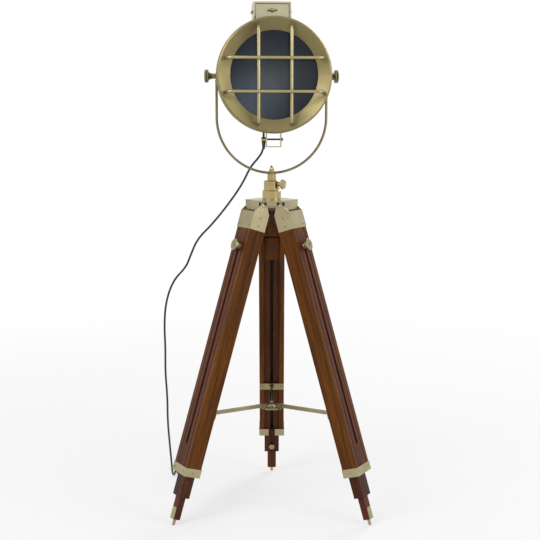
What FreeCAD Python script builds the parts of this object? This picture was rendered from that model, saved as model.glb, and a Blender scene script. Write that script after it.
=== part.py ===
import FreeCAD, Part
import os
from math import cos, sin, radians, sqrt, pi, tan, acos, atan2

# Tripod spotlight floor lamp.  Millimetres, +Z up.  The model is drawn about the
# column's axis (X = Y = 0, floor at Z = 0), front of the lamp towards -Y, and is
# moved at the end so that its box stands centred on the origin.

V = FreeCAD.Vector
UP = V(0, 0, 1)
FACING = V(0, 1, 0)
ACROSS = V(1, 0, 0)

# ---------------------------------------------------------------- driving sizes
PIN_FIT = 0.06              # radial running fit of pins and studs in their holes
SEAT = 0.3                  # clearance between curved seats
SLIDE = 0.4                 # clearance of the sliding legs, each side

# legs
LEG_NAMES = ("back", "left", "right")
BACK_AZIMUTH = 90.0
LEG_AZIMUTHS = {name: BACK_AZIMUTH + 360 / len(LEG_NAMES) * k for k, name in enumerate(LEG_NAMES)}
HINGE_R = 47.0              # hinge pin, from the column's axis
HINGE_Z = 894.0
LEAN = 17.25                # of an open leg, from the vertical
LEG_HALF_WIDTH = 38.0
LEG_HALF_DEPTH = 23.5
RAIL_WIDTH = 14.7
LEG_TOP = 22.0              # distances down a leg are taken from its hinge pin
HEAD_BLOCK_END = 95.0
RAIL_END = 784.0
PANEL_END = 762.0
PANEL_FACE_HALF = 20.5
PANEL_FACE_DEPTH = 7.0
PANEL_BACK_DEPTH = 4.2
SLOT_WIDTH = 10.0
SLOT_OVER = 7.0             # the slot starts this far above the clamp stud
SLOT_END = 702.0
SHEET = 1.5                 # brass brackets and bands
BRACKET_END = 72.0
BRACKET_EAR_OVER = 0.4      # the bracket's ear round the cap's lug
BAND_TOP = 762.0
BAND_END = 786.0
BAND_GAP_HALF = 10.0
MIDDLE_DEPTH = 30.0
MIDDLE_TOP = 100.0
MIDDLE_PANEL_GAP = 0.8
FOOT_WIDTH = 27.0
FOOT_DEPTH = 18.0
FOOT_TOP = 770.0
FOOT_END = 916.0
FOOT_STRAP_TOP = 883.0
SPIKE_R = 5.0
SPIKE_TIP_R = 3.5
SPIKE_OVER = 6.0            # cut off at the floor
SHOE_INSET = 2.5

# clamp knobs on the legs
CLAMP_D = 125.0
SLOT_TOP = CLAMP_D - SLOT_OVER
CLAMP_STUD_R = 4.0
CLAMP_NECK_R = 11.0
CLAMP_NECK_LENGTH = 8.0
CLAMP_HEAD_R = 17.0
CLAMP_HEAD_LENGTH = 9.5
FOOT_KNOB_D = 832.0
FOOT_KNOB_R = 9.0
FOOT_STUD_R = 3.0
FOOT_SLOT_PAST = 4.0        # the middle leg's slot ends this far below the foot knob
FOOT_SLOT_END = FOOT_KNOB_D + FOOT_SLOT_PAST
MIDDLE_FOOT = 15.0          # and the middle leg itself this far below its slot
MIDDLE_END = FOOT_SLOT_END + MIDDLE_FOOT

# spreader
STRAP_D = 604.0
STRAP_WIDTH = 22.0
STRAP_THICK = 2.0
STRAP_SCREW_R = 3.5
STRAP_SCREW_TALL = 1.5
STRAP_PIN_OUT = 10.5        # spreader pin, inwards of a leg's inner face
STRAP_PIN_R = 2.0
ARM_THICK = 5.0
ARM_TALL = 11.0
EAR_GAP = 0.7
EAR_THICK = 2.8
HUB_PIVOT_R = 26.0
HUB_FLAT_R = 29.0
HUB_PLATE = 4.0
HUB_EAR_INNER = 18.0
HUB_EAR_OUTER = 34.0

# cap, column, yoke
CAP_R = 75.0                # hexagon, to its corners
CAP_TOP = 909.0
CAP_PLATE = 4.0
SKIRT = 2.5
SKIRT_END = 882.0
SKIRT_HALF = 36.0
LIP_END = 894.0
LIP_HALF = 14.0
LUG_IN = 31.0
LUG_OUT = 36.0
LUG_R = 10.0
HINGE_PIN_R = 3.0
HINGE_HEAD_R = 5.5
HINGE_HEAD = 3.0
BOSS_R = 26.8
BOSS_TOP = 935.5
COLLAR_R = 22.5
COLLAR_TOP = 963.0
SPIGOT_R = 12.5
SPIGOT_WALL = 3.0
SPIGOT_LOW = 914.0
COLLAR_SCREW_Z = 953.0
COLLAR_SCREW_AZIMUTH = -35.0
COLLAR_SCREW_R = 3.0
COLLAR_DISC_R = 14.0
COLLAR_DISC = 6.0
COLLAR_NECK = 13.0
YOKE_ROD_R = 3.5
YOKE_STRAIGHT = 115.0       # straight arms, from the bow to the pivot
YOKE_LIFT = 21.5            # the bow's lowest point over the collar
YAW = 5.0                   # the head is turned a little to one side
EYE_R = 11.0
EYE_THICK = 4.0
PAD_R = 9.0
PAD_DEPTH = 8.2
FINIAL_R = 8.0
FINIAL_TALL = 16.6
FINIAL_STUD_R = 3.0
FINIAL_STUD_DOWN = 24.0

# head, drawn about its pivot
BARREL_R = 145.0
YOKE_CLEAR = 10.5           # from the barrel to the middle of the yoke's rod
YOKE_HALF = BARREL_R + YOKE_CLEAR
YOKE_LOW = COLLAR_TOP + YOKE_LIFT
YOKE_BEND_Z = YOKE_LOW + YOKE_HALF
PIVOT_Z = YOKE_BEND_Z + YOKE_STRAIGHT
BARREL_WALL = 2.0
BARREL_FRONT = -80.0
BARREL_BACK = 80.0
DOME_DEEP = 44.0
DOME_CORNER = 25.0
STUD_R = 4.0
BEZEL_OVER = 13.0           # the bezel stands out past the barrel
BEZEL_R = BARREL_R + BEZEL_OVER
BEZEL_ROUND = 5.0
BEZEL_LIP = -101.0
BEZEL_BACK = -64.0
BEZEL_WIDE = 37.0            # from the bezel's rim to its glass opening
APERTURE_R = BEZEL_R - BEZEL_WIDE
APERTURE_Y = -84.0
GLASS_LAP = 5.0
GLASS_R = APERTURE_R + GLASS_LAP
GLASS_THICK = 4.0
GLASS_FRONT = -80.0
GRILLE_ROD_R = 4.0
GRILLE_PITCH = 45.0
GRILLE_END_R = (APERTURE_R + BEZEL_R - BEZEL_ROUND) / 2
GRILLE_UPRIGHT_Y = -112.0
GRILLE_WELD = 0.6
GRILLE_BEND = 12.0
BOX_HALF = 46.0
BOX_FRONT = -20.0
BOX_BACK = 50.0
BOX_TALL = 52.0
BOX_TOP = BARREL_R + BOX_TALL
BOX_WALL = 2.0
HOOD_HALF = 52.5
HOOD_FRONT = -25.0
HOOD_BACK = 55.0
HOOD_OVER = 6.0
HOOD_TOP = BOX_TOP + HOOD_OVER
HOOD_TALL = 51.0
HOOD_LOW = HOOD_TOP - HOOD_TALL
HOOD_STUD_DOWN = 25.0
HOOD_STUD_APART = 18.0
HOOD_STUD_R = 3.0
STIRRUP_HALF = 22.0
STIRRUP_X = 5.0
STIRRUP_TALL = 53.0
STIRRUP_LOW = -BARREL_R - STIRRUP_TALL
STIRRUP_THICK = 3.0
STIRRUP_WIDE = 20.0
CLAMP_PIN_DOWN = 31.0
CLAMP_PIN_Z = -BARREL_R - CLAMP_PIN_DOWN
CLAMP_PIN_R = 2.5
CORD_CLAMP_R = 6.5
CORD_CLAMP_LONG = 12.5
CORD_X = -23.0
KNOB_R = 18.5
KNOB_HUB_R = 7.5
KNOB_REACH = 34.5
KNOB_END = YOKE_HALF + KNOB_REACH
BOSS_INNER = 10.0            # the barrel's side bosses start this far inside its wall

# cord
CORD_R = 3.0
FLOOR_GAP = 0.2
COIL_X = -274.0
COIL_Y = 300.0
COIL_MID_R = 33.0           # mid-turn radius, 66 mm across
COIL_TURNS = 4
COIL_PITCH = 6.6
COIL_LAYER = 6.6
COIL_LEAD_OUT = 20.0
PLUG_LONG = 36.0


# ---------------------------------------------------------------- small helpers
def block(x0, x1, y0, y1, z0, z1):
    return Part.makeBox(x1 - x0, y1 - y0, z1 - z0, V(x0, y0, z0))


def rod(radius, start, end):
    along = end - start
    return Part.makeCylinder(radius, along.Length, start, along)


def fuse(shapes):
    solid = shapes[0]
    for other in shapes[1:]:
        solid = solid.fuse(other)
    return solid.removeSplitter()


def spun(profile, axis_point, axis):
    wire = Part.makePolygon(profile + [profile[0]])
    return Part.Face(wire).revolve(axis_point, axis, 360)


def spun_y(points):
    """Turned about the Y axis; points are (radius, y)."""
    return spun([V(r, y, 0) for r, y in points], V(0, 0, 0), FACING)


def placed(shape, placement):
    moved = shape.copy()
    moved.Placement = placement.multiply(moved.Placement)
    return moved


def turned_about_column(azimuth):
    return FreeCAD.Placement(V(0, 0, 0), FreeCAD.Rotation(UP, azimuth))


def on_leg(shape, azimuth):
    """From a leg's own frame (X outwards, Y across, -Z down the leg) to the lamp's."""
    lean = FreeCAD.Placement(V(HINGE_R, 0, HINGE_Z), FreeCAD.Rotation(FACING, -LEAN))
    return placed(shape, turned_about_column(azimuth).multiply(lean))


def on_head(shape):
    yaw = FreeCAD.Placement(V(0, 0, PIVOT_Z), FreeCAD.Rotation(UP, YAW))
    return placed(shape, yaw)


def leg_block(out0, out1, across0, across1, down0, down1):
    return block(out0, out1, across0, across1, -down1, -down0)


def long_slot(out0, out1, width, down0, down1):
    """A slot through a leg's wall, with round ends."""
    half = width / 2
    straight = leg_block(out0, out1, -half, half, down0 + half, down1 - half)
    top = rod(half, V(out0, 0, -down0 - half), V(out1, 0, -down0 - half))
    low = rod(half, V(out0, 0, -down1 + half), V(out1, 0, -down1 + half))
    return fuse([straight, top, low])


# ---------------------------------------------------------------- a leg
RAIL_INNER = LEG_HALF_WIDTH - RAIL_WIDTH
PANEL_BACK = LEG_HALF_DEPTH - PANEL_FACE_DEPTH - PANEL_BACK_DEPTH
MIDDLE_OUT = PANEL_BACK - MIDDLE_PANEL_GAP
MIDDLE_IN = MIDDLE_OUT - MIDDLE_DEPTH
FOOT_MID = (MIDDLE_OUT + MIDDLE_IN) / 2
STRAP_PIN_X = -LEG_HALF_DEPTH - STRAP_PIN_OUT


def leg_rails():
    head = leg_block(-LEG_HALF_DEPTH, LEG_HALF_DEPTH, -LEG_HALF_WIDTH, LEG_HALF_WIDTH, LEG_TOP, HEAD_BLOCK_END)
    rails = [head]
    for low, high in ((-LEG_HALF_WIDTH, -RAIL_INNER), (RAIL_INNER, LEG_HALF_WIDTH)):
        rails.append(leg_block(-LEG_HALF_DEPTH, LEG_HALF_DEPTH, low, high, LEG_TOP, RAIL_END))
    frame = fuse(rails)
    groove_half = (RAIL_INNER + PANEL_FACE_HALF) / 2
    groove = RAIL_INNER - PANEL_FACE_HALF
    for side in (-1, 1):
        middle = side * groove_half
        cut = leg_block(LEG_HALF_DEPTH - PANEL_FACE_DEPTH, LEG_HALF_DEPTH + 1,
                        middle - groove / 2, middle + groove / 2, LEG_TOP - 1, HEAD_BLOCK_END + 1)
        frame = frame.cut(cut)
    return frame


def leg_panel():
    face = leg_block(LEG_HALF_DEPTH - PANEL_FACE_DEPTH, LEG_HALF_DEPTH,
                     -PANEL_FACE_HALF, PANEL_FACE_HALF, HEAD_BLOCK_END, PANEL_END)
    back = leg_block(PANEL_BACK, LEG_HALF_DEPTH - PANEL_FACE_DEPTH,
                     -RAIL_INNER, RAIL_INNER, HEAD_BLOCK_END, PANEL_END)
    slot = long_slot(PANEL_BACK - 1, LEG_HALF_DEPTH + 1, SLOT_WIDTH, SLOT_TOP, SLOT_END)
    return fuse([face, back]).cut(slot)


def leg_bracket():
    outer = LEG_HALF_DEPTH + SHEET
    edge = LEG_HALF_WIDTH + SHEET
    plate = leg_block(LEG_HALF_DEPTH, outer, -edge, edge, LEG_TOP, BRACKET_END)
    parts = [plate]
    ear_r = LUG_R + BRACKET_EAR_OVER
    for side in (-1, 1):
        near, far = sorted((side * LEG_HALF_WIDTH, side * edge))
        outline = [V(-ear_r, near, 0), V(ear_r, near, 0), V(outer, near, -LEG_TOP),
                   V(outer, near, -BRACKET_END), V(-LEG_HALF_DEPTH, near, -BRACKET_END),
                   V(-LEG_HALF_DEPTH, near, -LEG_TOP)]
        cheek = Part.Face(Part.makePolygon(outline + [outline[0]])).extrude(V(0, far - near, 0))
        parts.append(cheek.fuse(rod(ear_r, V(0, near, 0), V(0, far, 0))))
    solid = fuse(parts)
    return solid.cut(rod(HINGE_PIN_R + PIN_FIT, V(0, -edge - 1, 0), V(0, edge + 1, 0)))


def leg_band():
    outer = LEG_HALF_DEPTH + SHEET
    edge = LEG_HALF_WIDTH + SHEET
    sleeve = leg_block(-outer, outer, -edge, edge, BAND_TOP, BAND_END)
    bore = leg_block(-LEG_HALF_DEPTH, LEG_HALF_DEPTH, -LEG_HALF_WIDTH, LEG_HALF_WIDTH, BAND_TOP - 1, RAIL_END)
    way = leg_block(MIDDLE_IN - SLIDE, MIDDLE_OUT + SLIDE, -RAIL_INNER, RAIL_INNER, BAND_TOP - 1, BAND_END + 1)
    gap = leg_block(-outer - 1, MIDDLE_IN, -BAND_GAP_HALF, BAND_GAP_HALF, BAND_TOP - 1, BAND_END + 1)
    return sleeve.cut(bore).cut(way).cut(gap)


def middle_leg():
    half = RAIL_INNER - SLIDE
    body = leg_block(MIDDLE_IN, MIDDLE_OUT, -half, half, MIDDLE_TOP, MIDDLE_END)
    foot_half = FOOT_WIDTH / 2 + SLIDE
    foot_deep = FOOT_DEPTH / 2 + SLIDE
    channel = leg_block(FOOT_MID - foot_deep, FOOT_MID + foot_deep, -foot_half, foot_half,
                        MIDDLE_TOP + PANEL_BACK, MIDDLE_END + 1)
    half_slot = SLOT_WIDTH / 2
    slot = leg_block(MIDDLE_IN - 1, FOOT_MID, -half_slot, half_slot,
                     MIDDLE_TOP + PANEL_BACK, FOOT_SLOT_END - half_slot)
    end = rod(half_slot, V(MIDDLE_IN - 1, 0, half_slot - FOOT_SLOT_END), V(FOOT_MID, 0, half_slot - FOOT_SLOT_END))
    return body.cut(channel).cut(slot).cut(end)


def clamp_knob():
    face = LEG_HALF_DEPTH + SEAT
    neck_end = face + CLAMP_NECK_LENGTH
    tip = neck_end + CLAMP_HEAD_LENGTH
    bead = 1.5
    profile = [(0, MIDDLE_OUT), (CLAMP_STUD_R, MIDDLE_OUT), (CLAMP_STUD_R, face),
               (CLAMP_NECK_R, face), (CLAMP_NECK_R - bead, neck_end), (CLAMP_HEAD_R - bead, neck_end),
               (CLAMP_HEAD_R, neck_end + bead), (CLAMP_HEAD_R, tip - bead), (CLAMP_HEAD_R - bead, tip),
               (CLAMP_STUD_R, tip), (CLAMP_STUD_R - bead, tip - bead), (0, tip - bead)]
    return spun([V(out, r, -CLAMP_D) for r, out in profile], V(0, 0, -CLAMP_D), ACROSS)


def foot_leg():
    half = FOOT_WIDTH / 2
    deep = FOOT_DEPTH / 2
    return leg_block(FOOT_MID - deep, FOOT_MID + deep, -half, half, FOOT_TOP, FOOT_END)


def foot_knob():
    near = FOOT_MID - FOOT_DEPTH / 2
    head_near = MIDDLE_IN - SEAT
    tip = -LEG_HALF_DEPTH
    profile = [(0, near), (FOOT_STUD_R, near), (FOOT_STUD_R, head_near), (FOOT_KNOB_R, head_near),
               (FOOT_KNOB_R, tip + 1), (FOOT_KNOB_R - 1, tip), (2, tip), (0, tip + 1)]
    return spun([V(out, r, -FOOT_KNOB_D) for r, out in profile], V(0, 0, -FOOT_KNOB_D), ACROSS)


def foot_spike(azimuth):
    face = FOOT_MID + FOOT_DEPTH / 2
    inner = FOOT_MID - FOOT_DEPTH / 2
    half = FOOT_WIDTH / 2 - SHOE_INSET
    strap = leg_block(face, face + SHEET, -half, half, FOOT_STRAP_TOP, FOOT_END + SHEET)
    sole = leg_block(inner, face + SHEET, -half, half, FOOT_END, FOOT_END + SHEET)
    floor_d = HINGE_Z / cos(radians(LEAN)) + SPIKE_OVER
    cone = Part.makeCone(SPIKE_R, SPIKE_TIP_R, floor_d - FOOT_END, V(FOOT_MID, 0, -FOOT_END), V(0, 0, -1))
    shoe = on_leg(fuse([strap, sole, cone]), azimuth)
    reach = 600
    return shoe.cut(block(-reach, reach, -reach, reach, -100, 0))


def spreader_strap():
    inner = -LEG_HALF_DEPTH
    low = inner - STRAP_THICK
    half = STRAP_WIDTH / 2
    plate = leg_block(low, inner, -LEG_HALF_WIDTH, LEG_HALF_WIDTH, STRAP_D - half, STRAP_D + half)
    parts = [plate]
    ear_in = ARM_THICK / 2 + EAR_GAP
    ear_r = ARM_TALL / 2
    for side in (-1, 1):
        near, far = sorted((side * ear_in, side * (ear_in + EAR_THICK)))
        parts.append(leg_block(STRAP_PIN_X, low, near, far, STRAP_D - ear_r, STRAP_D + ear_r))
        parts.append(rod(ear_r, V(STRAP_PIN_X, near, -STRAP_D), V(STRAP_PIN_X, far, -STRAP_D)))
        screw = side * (LEG_HALF_WIDTH - RAIL_WIDTH / 2)
        parts.append(rod(STRAP_SCREW_R, V(low - STRAP_SCREW_TALL, screw, -STRAP_D), V(low, screw, -STRAP_D)))
    reach = ear_in + EAR_THICK + 1.5
    parts.append(rod(STRAP_PIN_R, V(STRAP_PIN_X, -reach, -STRAP_D), V(STRAP_PIN_X, reach, -STRAP_D)))
    return fuse(parts)


# ---------------------------------------------------------------- spreader
def leg_point(out, down):
    """Distance from the column's axis and height of a point of an open leg."""
    lean = radians(LEAN)
    return (HINGE_R + down * sin(lean) + out * cos(lean), HINGE_Z - down * cos(lean) + out * sin(lean))


ARM_PIVOT_R, ARM_PIVOT_Z = leg_point(STRAP_PIN_X, STRAP_D)


def spreader_arm():
    half = ARM_THICK / 2
    tall = ARM_TALL / 2
    bar = block(HUB_PIVOT_R, ARM_PIVOT_R, -half, half, ARM_PIVOT_Z - tall, ARM_PIVOT_Z + tall)
    ends = [bar]
    for x in (HUB_PIVOT_R, ARM_PIVOT_R):
        ends.append(rod(tall, V(x, -half, ARM_PIVOT_Z), V(x, half, ARM_PIVOT_Z)))
    arm = fuse(ends)
    for x in (HUB_PIVOT_R, ARM_PIVOT_R):
        arm = arm.cut(rod(STRAP_PIN_R + PIN_FIT, V(x, -half - 1, ARM_PIVOT_Z), V(x, half + 1, ARM_PIVOT_Z)))
    return arm


def hexagon(flat_r, turn):
    corner = flat_r / cos(radians(30))
    return [V(corner * cos(radians(turn + 60 * k)), corner * sin(radians(turn + 60 * k)), 0) for k in range(6)]


def hex_plate(flat_r, turn, low, tall):
    points = hexagon(flat_r, turn)
    face = Part.Face(Part.makePolygon(points + [points[0]]))
    face.translate(V(0, 0, low))
    return face.extrude(V(0, 0, tall))


def spreader_hub():
    top = ARM_PIVOT_Z - ARM_TALL / 2 - 0.1
    parts = [hex_plate(HUB_FLAT_R, 0, top - HUB_PLATE, HUB_PLATE)]
    ear_in = ARM_THICK / 2 + EAR_GAP
    for azimuth in LEG_AZIMUTHS.values():
        for side in (-1, 1):
            near, far = sorted((side * ear_in, side * (ear_in + EAR_THICK)))
            ear = block(HUB_EAR_INNER, HUB_EAR_OUTER, near, far, top - HUB_PLATE, ARM_PIVOT_Z + ARM_TALL / 2)
            parts.append(placed(ear, turned_about_column(azimuth)))
    parts.append(Part.makeCone(12, 5, 7, V(0, 0, top), UP))
    return fuse(parts)


# ---------------------------------------------------------------- cap and column
def hub_cap():
    flat_r = CAP_R * cos(radians(30))
    under = CAP_TOP - CAP_PLATE
    parts = [hex_plate(flat_r, 0, under, CAP_PLATE)]
    for azimuth in LEG_AZIMUTHS.values():
        turn = turned_about_column(azimuth)
        opposite = turned_about_column(azimuth + 180)
        parts.append(placed(block(flat_r - SKIRT, flat_r, -SKIRT_HALF, SKIRT_HALF, SKIRT_END, under), turn))
        parts.append(placed(block(flat_r - SKIRT, flat_r, -LIP_HALF, LIP_HALF, LIP_END, under), opposite))
        for side in (-1, 1):
            near, far = sorted((side * LUG_IN, side * LUG_OUT))
            lug = block(HINGE_R - LUG_R, HINGE_R + LUG_R, near, far, HINGE_Z, under)
            eye = rod(LUG_R, V(HINGE_R, near, HINGE_Z), V(HINGE_R, far, HINGE_Z))
            parts.append(placed(lug.fuse(eye), turn))
    cap = fuse(parts)
    for azimuth in LEG_AZIMUTHS.values():
        hole = rod(HINGE_PIN_R + PIN_FIT, V(HINGE_R, -LUG_OUT - 1, HINGE_Z), V(HINGE_R, LUG_OUT + 1, HINGE_Z))
        cap = cap.cut(placed(hole, turned_about_column(azimuth)))
    return cap


def hinge_pins():
    pins = []
    edge = LEG_HALF_WIDTH + SHEET + 0.2
    for azimuth in LEG_AZIMUTHS.values():
        profile = [(0, -edge - HINGE_HEAD), (HINGE_HEAD_R - 2, -edge - HINGE_HEAD), (HINGE_HEAD_R, -edge - 1),
                   (HINGE_HEAD_R, -edge), (HINGE_PIN_R, -edge), (HINGE_PIN_R, edge), (HINGE_HEAD_R, edge),
                   (HINGE_HEAD_R, edge + 1), (HINGE_HEAD_R - 2, edge + HINGE_HEAD), (0, edge + HINGE_HEAD)]
        pin = spun_y(profile)
        pin.translate(V(HINGE_R, 0, HINGE_Z))
        pins.append(placed(pin, turned_about_column(azimuth)))
    return Part.makeCompound(pins)


def column_collar():
    round_edge = 2.0
    profile = [(0, CAP_TOP), (BOSS_R, CAP_TOP), (BOSS_R, BOSS_TOP - round_edge), (BOSS_R - round_edge, BOSS_TOP),
               (COLLAR_R, BOSS_TOP), (COLLAR_R, COLLAR_TOP - round_edge), (COLLAR_R - round_edge, COLLAR_TOP),
               (0, COLLAR_TOP)]
    turned = spun([V(r, 0, z) for r, z in profile], V(0, 0, 0), UP)
    bore = rod(SPIGOT_R + PIN_FIT, V(0, 0, SPIGOT_LOW - PIN_FIT), V(0, 0, COLLAR_TOP + 1))
    hole = rod(COLLAR_SCREW_R + PIN_FIT, V(0, 0, COLLAR_SCREW_Z), V(COLLAR_R + 1, 0, COLLAR_SCREW_Z))
    return turned.cut(bore).cut(placed(hole, turned_about_column(COLLAR_SCREW_AZIMUTH)))


def collar_screw():
    near = SPIGOT_R + SEAT
    neck = COLLAR_R + SEAT
    disc = neck + COLLAR_NECK
    tip = disc + COLLAR_DISC
    dish = 2.0
    profile = [(0, near), (COLLAR_SCREW_R, near), (COLLAR_SCREW_R, neck), (5.5, neck), (5.5, disc - 2),
               (COLLAR_DISC_R - 1.5, disc), (COLLAR_DISC_R, disc + 1.5), (COLLAR_DISC_R, tip - 1.5),
               (COLLAR_DISC_R - 1.5, tip), (7, tip - dish), (0, tip - dish)]
    screw = spun([V(out, r, 0) for r, out in profile], V(0, 0, 0), ACROSS)
    screw.translate(V(0, 0, COLLAR_SCREW_Z))
    return placed(screw, turned_about_column(COLLAR_SCREW_AZIMUTH))


PAD_LOW = YOKE_LOW - PAD_DEPTH / 2
PAD_TOP = YOKE_LOW + PAD_DEPTH / 2


def yoke_spigot():
    tube = rod(SPIGOT_R, V(0, 0, SPIGOT_LOW), V(0, 0, PAD_LOW))
    bore = rod(SPIGOT_R - SPIGOT_WALL, V(0, 0, SPIGOT_LOW - 1), V(0, 0, PAD_LOW - FINIAL_STUD_DOWN + 4))
    hole = rod(FINIAL_STUD_R + PIN_FIT, V(0, 0, SPIGOT_LOW), V(0, 0, PAD_LOW + 1))
    return tube.cut(bore).cut(hole)


def yoke():
    section = Part.Face(Part.Wire(Part.makeCircle(YOKE_ROD_R, V(YOKE_HALF, 0, YOKE_BEND_Z), UP)))
    parts = [section.revolve(V(0, 0, YOKE_BEND_Z), FACING, 180)]
    hub = rod(PAD_R, V(0, 0, PAD_LOW), V(0, 0, PAD_TOP))
    parts.append(hub)
    half_eye = EYE_THICK / 2
    for side in (-1, 1):
        x = side * YOKE_HALF
        parts.append(rod(YOKE_ROD_R, V(x, 0, YOKE_BEND_Z), V(x, 0, PIVOT_Z - EYE_R + 1)))
        parts.append(rod(EYE_R, V(x - half_eye, 0, PIVOT_Z), V(x + half_eye, 0, PIVOT_Z)))
    bow = fuse(parts)
    inner = BARREL_R + BARREL_WALL + EYE_R
    bow = bow.cut(rod(STUD_R + PIN_FIT, V(-YOKE_HALF - inner, 0, PIVOT_Z), V(YOKE_HALF + inner, 0, PIVOT_Z)))
    bow = bow.cut(rod(FINIAL_STUD_R + PIN_FIT, V(0, 0, PAD_LOW - 1), V(0, 0, PAD_TOP + 1)))
    return placed(bow, turned_about_column(YAW))


def finial():
    base = PAD_TOP
    tip = base + FINIAL_TALL
    low = PAD_LOW - FINIAL_STUD_DOWN + 6
    profile = [(0, low), (FINIAL_STUD_R, low), (FINIAL_STUD_R, base), (FINIAL_R, base), (FINIAL_R, base + 3),
               (FINIAL_R - 2, base + 4), (FINIAL_R - 1.2, base + 7), (FINIAL_R - 2.5, base + 11),
               (FINIAL_R - 5, base + 14.5), (1, tip), (0, tip)]
    return spun([V(r, 0, z) for r, z in profile], V(0, 0, 0), UP)


# ---------------------------------------------------------------- head
def barrel():
    shell = spun_y([(BARREL_R - BARREL_WALL, BARREL_FRONT), (BARREL_R, BARREL_FRONT),
                    (BARREL_R, BARREL_BACK), (BARREL_R - BARREL_WALL, BARREL_BACK)])
    parts = [shell]
    for side in (-1, 1):
        near = side * (BARREL_R - BOSS_INNER)
        far = side * (YOKE_HALF - EYE_THICK / 2 - SEAT)
        parts.append(rod(EYE_R - 2, V(near, 0, 0), V(far, 0, 0)))
    solid = fuse(parts)
    reach = YOKE_HALF + EYE_R
    for side in (-1, 1):
        solid = solid.cut(rod(STUD_R + PIN_FIT, V(side * (BARREL_R - BOSS_INNER - 1), 0, 0), V(side * reach, 0, 0)))
    return solid


def dome_line(radius, corner, tip):
    """Half section of a spun dome: a spherical crown, a rounded corner and the rim."""
    rim = radius - corner
    rise = tip - BARREL_BACK
    crown = (rim ** 2 + rise ** 2 - corner ** 2) / (2 * (rise - corner))
    centre_y = tip - crown
    lean = atan2(rim, BARREL_BACK - centre_y)
    meet = V(crown * sin(lean), centre_y + crown * cos(lean), 0)
    half = lean / 2
    over = V(crown * sin(half), centre_y + crown * cos(half), 0)
    bend = (lean + pi / 2) / 2
    round_mid = V(rim + corner * sin(bend), BARREL_BACK + corner * cos(bend), 0)
    crown_arc = Part.Arc(V(0, tip, 0), over, meet)
    corner_arc = Part.Arc(meet, round_mid, V(radius, BARREL_BACK, 0))
    return crown_arc, corner_arc


def back_dome():
    wall = BARREL_WALL
    tip = BARREL_BACK + DOME_DEEP
    outer = dome_line(BARREL_R, DOME_CORNER, tip)
    inner = dome_line(BARREL_R - wall, DOME_CORNER - wall, tip - wall)
    axis = Part.LineSegment(V(0, tip - wall, 0), V(0, tip, 0))
    rim = Part.LineSegment(V(BARREL_R, BARREL_BACK, 0), V(BARREL_R - wall, BARREL_BACK, 0))
    edges = [axis, outer[0], outer[1], rim, inner[1], inner[0]]
    wire = Part.Wire(Part.__sortEdges__([edge.toShape() for edge in edges]))
    return Part.Face(wire).revolve(V(0, 0, 0), FACING, 360)


def bezel():
    lip = BEZEL_ROUND
    profile = [(APERTURE_R, APERTURE_Y), (BEZEL_R - lip, BEZEL_LIP), (BEZEL_R - lip / 3, BEZEL_LIP + lip / 3),
               (BEZEL_R, BEZEL_LIP + lip), (BEZEL_R, BEZEL_BACK), (BARREL_R + SEAT, BEZEL_BACK),
               (BARREL_R + SEAT, BEZEL_BACK - 8), (BEZEL_R - lip, BEZEL_BACK - 10), (BEZEL_R - lip, BEZEL_LIP + lip),
               (GLASS_R + 3, APERTURE_Y + 1.5), (GLASS_R + 3, GLASS_FRONT - SEAT), (APERTURE_R, GLASS_FRONT - SEAT)]
    return spun_y(profile)


def glass():
    back = GLASS_FRONT + GLASS_THICK
    return spun_y([(0, GLASS_FRONT), (GLASS_R, GLASS_FRONT), (GLASS_R, back), (0, back)])


def bent_rod(line_y, end_y, end_along):
    """A straight rod whose two ends bend back; it runs along X in the XY plane."""
    bend = GRILLE_BEND
    corner = end_along - bend
    turn = bend * (1 - cos(radians(45)))
    dip = bend * sin(radians(45))
    edges = []
    start = V(-end_along, end_y, 0)
    a = V(-end_along, line_y + bend, 0)
    b = V(-corner, line_y, 0)
    c = V(corner, line_y, 0)
    d = V(end_along, line_y + bend, 0)
    stop = V(end_along, end_y, 0)
    edges.append(Part.LineSegment(start, a).toShape())
    edges.append(Part.Arc(a, V(-end_along + turn, line_y + bend - dip, 0), b).toShape())
    edges.append(Part.LineSegment(b, c).toShape())
    edges.append(Part.Arc(c, V(end_along - turn, line_y + bend - dip, 0), d).toShape())
    edges.append(Part.LineSegment(d, stop).toShape())
    section = Part.Wire(Part.makeCircle(GRILLE_ROD_R, start, FACING))
    return Part.Wire(edges).makePipeShell([section], True, True)


def grille():
    along = sqrt(GRILLE_END_R ** 2 - GRILLE_PITCH ** 2)
    slope = (BEZEL_LIP - APERTURE_Y) / (BEZEL_R - BEZEL_ROUND - APERTURE_R)
    seat_y = APERTURE_Y + slope * (GRILLE_END_R + GRILLE_ROD_R - APERTURE_R) - SEAT
    cross_y = GRILLE_UPRIGHT_Y - 2 * GRILLE_ROD_R + GRILLE_WELD
    rods = []
    for side in (-1, 1):
        level = bent_rod(cross_y, seat_y, along)
        level.translate(V(0, 0, side * GRILLE_PITCH))
        rods.append(level)
        upright = bent_rod(GRILLE_UPRIGHT_Y, seat_y, along)
        upright.rotate(V(0, 0, 0), FACING, 90)
        upright.translate(V(side * GRILLE_PITCH, 0, 0))
        rods.append(upright)
    return fuse(rods)


REFLECTOR_BACK = 20.0
SOCKET_R = 22.0


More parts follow.
